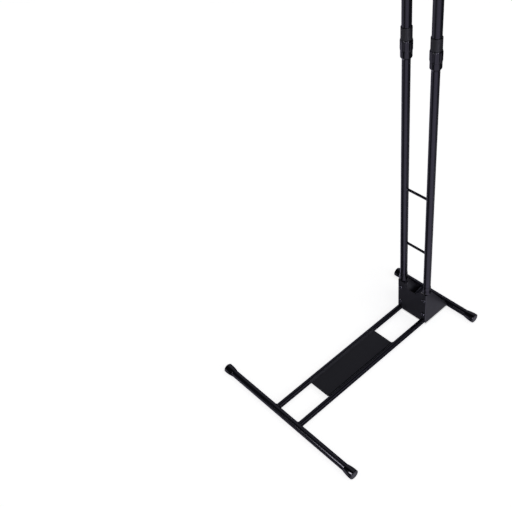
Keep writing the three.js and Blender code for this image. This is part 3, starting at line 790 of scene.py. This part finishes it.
def nut_mesh(width, height, bore):
    """A hexagon nut along +Z from 0, with its corners turned down and a chamfered hole."""
    origin = straight((0, 0, 0), Z_AXIS)
    chamfer, edge = 0.5 * MM, 0.12 * MM
    corner = width / math.sqrt(3)
    flat = width / 2
    face_r, side_r = flat * 0.97, corner * 1.02
    rise = (corner - face_r) * 0.5
    cone = spin([(0, 0), (face_r, 0), (side_r, rise), (side_r, height - rise), (face_r, height), (0, height)],
                origin, sides=64)
    body = carve(prism(hexagon(width), 0, height), [cone], operation="INTERSECT")
    hole = spin([(0, -MM), (bore + chamfer, -MM), (bore + chamfer, 0), (bore, chamfer),
                 (bore, height - chamfer), (bore + chamfer, height), (bore + chamfer, height + MM),
                 (0, height + MM)], origin, sides=48)
    return carve(body, [hole], bevel=edge, limit=25)


def aimed(direction, at):
    turn = Z_AXIS.rotation_difference(Vector(direction)).to_matrix().to_4x4()
    return Matrix.Translation(at) @ turn


def about_z(angle):
    return Matrix.Rotation(angle, 4, "Z")


def spacer_mesh():
    """A round pad, hollowed where it sits on its spigot."""
    bore, radius, start, reach, edge = 3.3 * MM, 6.8 * MM, 2 * MM, 11.7 * MM, 0.35 * MM
    tube_r, tube_end = SPIGOT_R + SEAT_GAP, 12 * MM
    profile = rounded([(bore, start), (radius, start), (radius, reach), (bore, reach)], edge, steps=3)
    pad = spin(profile, straight((0, 0, 0), -Y_AXIS), sides=64)
    tube = spin([(0, -tube_end), (tube_r, -tube_end), (tube_r, tube_end), (0, tube_end)],
                straight((0, 0, 0), Z_AXIS))
    return carve(pad, [tube])


def bracket_fasteners():
    """Four bolts through the plate, each with its spacer and its nut behind the spigot."""
    bolt = bolt_mesh(**M6_BOLT, length=29.1 * MM)
    nut = nut_mesh(width=10 * MM, height=5.2 * MM, bore=3.25 * MM)
    spacer = spacer_mesh()
    head_seat = POST_Y - 13.8 * MM
    for side_name, sign in SIDES:
        for k, level in enumerate(LEVELS):
            x = sign * SIDE_X
            low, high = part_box(f"bracket_nut_{level}_{side_name}")
            z = (low.z + high.z) / 2
            spun = about_z(0.5 * (k + 2 * sign))
            dress(f"bracket_bolt_{level}_{side_name}", moved(bolt, aimed(Y_AXIS, (x, head_seat, z)) @ spun))
            dress(f"bracket_nut_{level}_{side_name}",
                  moved(nut, aimed(Y_AXIS, (x, low.y, z)) @ about_z(math.pi / 6)))
            dress(f"bracket_spacer_{level}_{side_name}",
                  moved(spacer, Matrix.Translation((x, POST_Y, z))))


def post_screws():
    screw = bolt_mesh(**M4_BOLT, length=6.5 * MM)
    for side_name, sign in SIDES:
        low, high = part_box("post_screw_" + side_name)
        at = (sign * SIDE_X, high.y - M4_BOLT["head_height"], (low.z + high.z) / 2)
        dress("post_screw_" + side_name, moved(screw, aimed(-Y_AXIS, at)))


def hook_screws():
    screw = bolt_mesh(**M6_BOLT, length=6.4 * MM)
    for side_name, sign in SIDES:
        for level in LEVELS:
            low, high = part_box(f"hook_screw_{level}_{side_name}")
            x = (high.x if sign > 0 else low.x) - sign * M6_BOLT["head_height"]
            at = (x, POST_Y, (low.z + high.z) / 2)
            dress(f"hook_screw_{level}_{side_name}", moved(screw, aimed(X_AXIS * -sign, at)))


bracket_fasteners()
post_screws()
hook_screws()


# Twist clamps

def collar(node, x):
    """The collar: chamfered nose, plain rim, a fluted grip that fades in and out, and a top lip."""
    low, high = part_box(node)
    length = high.z - low.z
    plain, chamfer, lip = 19 * MM, 4 * MM, 1.2 * MM
    radius, grip, nose = 13.7 * MM, 14.7 * MM, 10.9 * MM
    mouth, bore, throat = 10.4 * MM, 12.4 * MM, 11.2 * MM
    shelf, taper_low, taper_top = 8.7 * MM, 9 * MM, 14 * MM
    groove, groove_step = 0.35 * MM, 0.3 * MM
    flute_count, flute_depth = 12, 0.8 * MM
    tiny = 0.02 * MM
    outside = rounded([(mouth, 0), (nose, 0), (radius, chamfer), (radius, plain - 2 * groove_step),
                       (radius - groove, plain - groove_step), (radius - groove, plain + groove_step / 3)],
                      [2 * LIP, 6 * LIP, 10 * LIP, 3 * LIP, LIP, 0], closed=False)
    steps = 40
    grip_start = plain + groove_step
    grip_length = length - lip - grip_start
    hand = [(radius + (grip - radius) * smooth(k / 5) * smooth((steps - k) / 3),
             grip_start + grip_length * k / steps) for k in range(steps + 1)]
    top = rounded([(radius, length - lip), (radius, length), (bore, length), (bore, taper_top),
                   (throat, taper_low), (throat, shelf), (mouth, shelf), (mouth, 0)],
                  4 * LIP, steps=3, closed=False)

    def flutes(angle, r, s):
        if r <= radius + tiny or s < plain or s > length - lip + tiny:
            return r
        dip = (1 - math.cos(flute_count * angle)) / 2
        grip_share = (r - radius) / (grip - radius)
        return r - flute_depth * grip_share * dip ** 1.5

    path = straight((x, POST_Y, low.z), Z_AXIS)
    dress(node, spin(outside + hand + top[:-1], path, sides=192, shape=flutes))


def clamp_body(node, x):
    """The body inside a collar: four split fingers below, and a skirt round the upper tube."""
    low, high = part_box(node)
    length = high.z - low.z
    bore, tip, thread, edge = 10.3 * MM, 10.9 * MM, 12.1 * MM, 0.3 * MM
    skirt_bore, skirt = 11.7 * MM, 13.1 * MM
    taper, step, seat = 5 * MM, 37.3 * MM, 42 * MM
    profile = rounded([(bore, 0), (tip, 0), (thread, taper), (thread, step), (skirt, step), (skirt, length),
                       (skirt_bore, length), (skirt_bore, seat), (bore, seat)], edge, steps=3)
    body = spin(profile, straight((x, POST_Y, low.z), Z_AXIS))
    half_slot, slot_reach, slot_top, below = 0.8 * MM, 16 * MM, 22 * MM, -2 * MM
    slot = [(-slot_reach, -half_slot), (slot_reach, -half_slot), (slot_reach, half_slot),
            (-slot_reach, half_slot)]
    place = Matrix.Translation((x, POST_Y, low.z))
    cuts = [moved(prism(slot, below, slot_top), place @ about_z(turn)) for turn in (0, math.pi / 2)]
    dress(node, carve(body, cuts))


for side_name, sign in SIDES:
    collar("clamp_collar_" + side_name, sign * SIDE_X)
    clamp_body("clamp_body_" + side_name, sign * SIDE_X)


# Upper frame

def top_cap(node, x):
    low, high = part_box(node)
    mouth, rim = 12.5 * MM, 14 * MM
    dress(node, bell(UPPER_R, mouth, rim, high.z - low.z, straight((x, POST_Y, low.z), Z_AXIS)))


for side_name, sign in SIDES:
    upright_pipe("upper_tube_" + side_name, sign * SIDE_X, UPPER_R, UPPER_BORE)
    top_cap("top_cap_" + side_name, sign * SIDE_X)


def hook_bracket():
    """A folded channel round both upper tubes, with rounded rear corners."""
    low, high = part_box("hook_bracket")
    sheet, bend, corner, edge, overrun = 2 * MM, 3 * MM, 6 * MM, 0.4 * MM, 80 * MM
    side, front, rear = high.x - sheet / 2, low.y + sheet / 2, high.y
    outline = fold_outline([(-side, rear), (-side, front), (side, front), (side, rear)], sheet, bend)
    body = prism(outline, low.z, high.z)
    cuts = []
    for z, way in ((low.z, 1), (high.z, -1)):
        turn = arc(corner, -90 * way, 0, 17, (rear - corner, z + way * corner))
        outside = [(rear + corner, z + way * corner), (rear + corner, z - way * corner),
                   (rear - corner, z - way * corner)]
        cuts.append(prism(turn + outside, -overrun, overrun, seen_from_side))
    dress("hook_bracket", carve(body, cuts, bevel=edge, segments=3))


hook_bracket()
# The hook's arm, its tip and the run between them, by their middle lines
HOOK_ARM_X, HOOK_TIP_X, HOOK_SEAT_Y = 40 * MM, -40 * MM, 89.85 * MM
HOOK_BEND = 16 * MM


def bent(corners, radius, steps=18):
    """Straight runs with a round bend at each inner corner."""
    corners = [Vector(corner) for corner in corners]
    points = [corners[0]]
    for before, corner, after in zip(corners, corners[1:], corners[2:]):
        into, away = (corner - before).normalized(), (after - corner).normalized()
        turn = into.angle(away)
        axis = into.cross(away).normalized()
        inward = axis.cross(into)
        start = corner - into * (radius * math.tan(turn / 2))
        centre = start + inward * radius
        for k in range(steps + 1):
            spoke = Matrix.Rotation(turn * k / steps, 3, axis) @ inward
            points.append(centre - spoke * radius)
    return points + [corners[-1]]


def hook_points(arm_y, tip_z):
    return bent([(HOOK_ARM_X, arm_y, HOOK_Z), (HOOK_ARM_X, HOOK_SEAT_Y, HOOK_Z),
                 (HOOK_TIP_X, HOOK_SEAT_Y, HOOK_Z), (HOOK_TIP_X, HOOK_SEAT_Y, tip_z)], HOOK_BEND)


def wheel_hook():
    """A bent round rod with a threaded end that runs through the hook bracket."""
    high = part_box("wheel_hook")[1]
    radius, thread_r, pitch = 4.5 * MM, 4 * MM, 1.25 * MM
    shoulder, overlap, fade = 164.75 * MM, 2 * MM, 1.2 * MM
    near_edge, far_edge = 0.5 * MM, 0.8 * MM
    path = Path(hook_points(shoulder, high.z))
    stations = [s for s in path.at if 0 < s < path.length]
    shape = [(0, 0), (radius - near_edge, 0), (radius, near_edge)] + [(radius, s) for s in stations]
    shape += [(radius, path.length - far_edge), (radius - far_edge, path.length), (0, path.length)]
    bar = spin(shape, path, sides=48)
    length = high.y - shoulder + overlap
    steps = int(length / (pitch / 10))

    def thread(angle, r, s):
        if r < thread_r * 0.9:
            return r
        return r - thread_depth(angle, s, pitch) * smooth((length - s) / fade)

    side = [(thread_r, length * k / steps) for k in range(steps + 1)]
    start = (HOOK_ARM_X, shoulder - overlap, HOOK_Z)
    end = spin([(0, 0)] + side + [(0, length)], straight(start, Y_AXIS), sides=48, shape=thread)
    dress("wheel_hook", join_meshes(bar, end))


def hook_sleeve():
    """The hook's soft sleeve, with slow waves along its skin."""
    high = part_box("hook_sleeve")[1]
    inner, outer, end_zone = 4.6 * MM, 6.5 * MM, 2 * MM
    wave_depth, wave_length = 0.10 * MM, 2.3 * MM
    path = Path(hook_points(high.y, high.z))
    stations = [float(s) for s in path.at if end_zone < s < path.length - end_zone]
    extra = list(np.linspace(end_zone, path.length - end_zone, 60))
    places = sorted(set(stations + extra))
    near = [(inner, 6 * LIP), (inner + 8 * LIP, 0), (outer - 12 * LIP, 0), (outer - 3 * LIP, 7 * LIP),
            (outer, 20 * LIP)]
    far = [(r, path.length - s) for r, s in near][::-1]
    profile = near + [(outer, s) for s in places] + far + [(inner, s) for s in places[::-1]]

    def skin(angle, r, s):
        if r < outer - 2 * LIP:
            return r
        return r - wave_depth * (0.5 + 0.5 * math.sin(s / wave_length + 2 * math.sin(angle)))

    dress("hook_sleeve", spin(profile, path, sides=56, shape=skin))


def tip_cap():
    """A round-ended cap over the hook's tip."""
    low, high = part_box("hook_tip_cap")
    radius, bore, depth, lip_height, edge = 7.4 * MM, 4.8 * MM, 10.3 * MM, 2 * MM, 0.5 * MM
    length = high.z - low.z
    dome = arc(radius, 0, 90, 17, (0, length - radius))[:-1] + [(0, length)]
    lip = rounded([(bore, 0), (radius, 0), (radius, lip_height)], edge, closed=False)
    centre = ((low.x + high.x) / 2, (low.y + high.y) / 2, low.z)
    profile = [(0, depth), (bore, depth)] + lip + dome
    dress("hook_tip_cap", spin(profile, straight(centre, Z_AXIS), sides=72))


def hook_fasteners():
    """A washer and two nuts that hold the hook's threaded end in its bracket."""
    low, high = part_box("hook_washer")
    bore, radius, edge = 4.3 * MM, 8.5 * MM, 0.25 * MM
    thickness = high.y - low.y
    washer = rounded([(bore, 0), (radius, 0), (radius, thickness), (bore, thickness)], edge, steps=3)
    dress("hook_washer", spin(washer, straight((HOOK_ARM_X, low.y, HOOK_Z), Y_AXIS), sides=64))
    nut = nut_mesh(width=13 * MM, height=6.5 * MM, bore=4.25 * MM)
    for which, turn in (("front", 0.2), ("back", 0.75)):
        low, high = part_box("hook_nut_" + which)
        place = aimed(Y_AXIS, (HOOK_ARM_X, low.y, HOOK_Z)) @ about_z(turn)
        dress("hook_nut_" + which, moved(nut, place))


wheel_hook()
hook_sleeve()
tip_cap()
hook_fasteners()


# Floor and light

# The room that only gloss sees: its own dim light, and soft lights of which each has the way to it, the
# angles in degrees from there up to which it is full and at which it has gone, and its colour
ROOM_DIM = (0.022, 0.022, 0.028)
ROOM_LIGHTS = (((0.620, -0.440, -0.650), (12, 52), (0.86, 0.82, 1.04)),
               ((0.413, 0.535, -0.735), (5, 21), (0.46, 0.45, 0.53)),
               ((0.350, 0.280, -0.890), (5, 16), (0.10, 0.10, 0.12)),
               ((-0.420, 0.660, 0.620), (12, 42), (0.34, 0.34, 0.40)),
               ((-0.700, 0.255, -0.667), (8, 42), (0.50, 0.48, 0.62)),
               ((-0.700, -0.670, -0.250), (8, 30), (0.66, 0.64, 0.80)),
               ((0.800, 0.364, 0.479), (3, 14), (1.3, 1.3, 1.6)),
               ((0.900, -0.400, 0.170), (5, 16), (14.0, 14.0, 16.0)))
# Painted shadow: a square inside the bracket's foot where the floor glows less. Its middle, its half width
# and where it has faded
PAINTED_SHADOW_MIDDLE = (0, 246 * MM, 0)
PAINTED_SHADOW_FROM, PAINTED_SHADOW_TO = 40 * MM, 50 * MM


def operate(tree, kind, operation, values):
    """A math node. values gives each input, by its index or name, a socket or a plain value."""
    node = tree.nodes.new("ShaderNode" + kind)
    node.operation = operation
    for key, value in values.items():
        if isinstance(value, bpy.types.NodeSocket):
            tree.links.new(value, node.inputs[key])
        else:
            node.inputs[key].default_value = value
    return node.outputs


def off_middle(tree, place):
    """How far a place is from the middle along X and along Y."""
    size = operate(tree, "VectorMath", "ABSOLUTE", {0: place})
    parts = tree.nodes.new("ShaderNodeSeparateXYZ")
    tree.links.new(size["Vector"], parts.inputs["Vector"])
    return parts.outputs["X"], parts.outputs["Y"]


def grid_mesh(name, squares, half_width):
    bm = bmesh.new()
    bmesh.ops.create_grid(bm, x_segments=squares, y_segments=squares, size=half_width)
    return to_mesh(bm, name)


def glowing(name):
    """A material that only shines, with its tree, its place and its emission node."""
    material = bpy.data.materials.new(name)
    material.use_nodes = True
    tree = material.node_tree
    tree.nodes.clear()
    place = tree.nodes.new("ShaderNodeTexCoord")
    glow = tree.nodes.new("ShaderNodeEmission")
    out = tree.nodes.new("ShaderNodeOutputMaterial")
    tree.links.new(glow.outputs["Emission"], out.inputs["Surface"])
    return material, tree, place.outputs["Object"], glow


def stage_object(name, mesh, material, *unseen_by):
    mesh.materials.append(material)
    thing = add_object(name, mesh)
    for ray in unseen_by:
        setattr(thing, "visible_" + ray, False)
    return thing


def floor():
    """A pale floor that glows a little, with a painted shadow inside the bracket's foot, unseen by gloss."""
    mesh = grid_mesh("floor", squares=2, half_width=30)
    material, tree, shader, place = new_material("floor_white")
    cloud = noise(tree, place, scale=3, detail=2)
    pale = colours(tree, cloud, between((0.795, 0.795, 0.80), (0.81, 0.81, 0.81)))
    tree.links.new(pale, shader.inputs["Base Color"])
    tree.links.new(pale, shader.inputs["Emission Color"])
    # Painted shadow: the glow falls to a little inside the bracket's foot
    away = operate(tree, "VectorMath", "SUBTRACT", {0: place, 1: PAINTED_SHADOW_MIDDLE})
    across, along = off_middle(tree, away["Vector"])
    far = operate(tree, "Math", "MAXIMUM", {0: across, 1: along})
    glow = spread(tree, far["Value"], low=0.06, high=1.0, start=PAINTED_SHADOW_FROM, end=PAINTED_SHADOW_TO)
    tree.links.new(glow, shader.inputs["Emission Strength"])
    shader.inputs["Roughness"].default_value = 0.9
    shader.inputs["Specular IOR Level"].default_value = 0.1
    plane = stage_object("floor", mesh, material, "glossy")


def backdrop():
    """A pale ring wall just inside the floor's edge, which lights nothing."""
    bm = bmesh.new()
    bmesh.ops.create_cone(bm, segments=96, radius1=29, radius2=29, depth=60)
    mesh = to_mesh(bm, "backdrop")
    material, tree, place, glow = glowing("backdrop_white")
    cloud = noise(tree, place, scale=0.2, detail=1)
    tree.links.new(colours(tree, cloud, between((0.97, 0.97, 0.97), (1, 1, 1))), glow.inputs["Color"])
    wall = stage_object("backdrop", mesh, material, "diffuse", "glossy", "transmission", "shadow")


def wide_light(name, come_from, strength, angle):
    """Light from a broad part of the sky, even over the whole floor."""
    data = bpy.data.lights.new(name, "SUN")
    data.energy = strength
    data.angle = math.radians(angle)
    light = add_object(name, data)
    light.rotation_euler = (-Vector(come_from)).to_track_quat("-Z", "Y").to_euler()
    light.visible_glossy = False


def soft_box(name, at, aim, width, height, strength):
    """A tall soft-edged panel of light that only shows in gloss."""
    mesh = grid_mesh(name, squares=1, half_width=0.5)
    material, tree, place, glow = glowing(name)
    across, along = [spread(tree, off, low=1, high=0, start=0.25, end=0.5) for off in off_middle(tree, place)]
    both = operate(tree, "Math", "MULTIPLY", {0: across, 1: along})
    level = operate(tree, "Math", "MULTIPLY", {0: both["Value"], 1: strength})
    glow.inputs["Color"].default_value = (0.97, 0.96, 1.0, 1)
    tree.links.new(level["Value"], glow.inputs["Strength"])
    panel = stage_object(name, mesh, material, "camera", "diffuse", "transmission", "shadow")
    look = (Vector(aim) - Vector(at)).normalized()
    panel.rotation_euler = look.to_track_quat("Z", "Y").to_euler()
    panel.scale = (width, height, 1)
    panel.location = at


def surroundings():
    """What the gloss sees: a dim room with a few soft bright parts."""
    world = bpy.data.worlds.new("world")
    world.use_nodes = True
    tree = world.node_tree
    place = tree.nodes.new("ShaderNodeTexCoord").outputs["Generated"]
    total = ROOM_DIM
    for aim, (full, gone), colour in ROOM_LIGHTS:
        dot = operate(tree, "VectorMath", "DOT_PRODUCT", {0: place, 1: Vector(aim).normalized()})
        ramp = tree.nodes.new("ShaderNodeMapRange")
        ramp.interpolation_type = "SMOOTHERSTEP"
        ramp.inputs["From Min"].default_value = math.cos(math.radians(gone))
        ramp.inputs["From Max"].default_value = math.cos(math.radians(full))
        tree.links.new(dot["Value"], ramp.inputs["Value"])
        light = operate(tree, "VectorMath", "SCALE", {0: colour, "Scale": ramp.outputs["Result"]})
        total = operate(tree, "VectorMath", "ADD", {0: total, 1: light["Vector"]})["Vector"]
    tree.links.new(total, tree.nodes["Background"].inputs["Color"])
    bpy.context.scene.world = world
    world.cycles_visibility.diffuse = False


floor()
backdrop()
surroundings()
soft_box("soft_box", at=(-0.19, -1.00, 0.77), aim=(0.232, -0.295, 0.02), width=0.17, height=0.58, strength=20)
bpy.context.scene.view_settings.view_transform = "Standard"
wide_light("sky_high", come_from=(0.35, -0.15, 1), strength=0.70, angle=110)
wide_light("sky_side", come_from=(1, 0.05, 0.55), strength=0.40, angle=60)
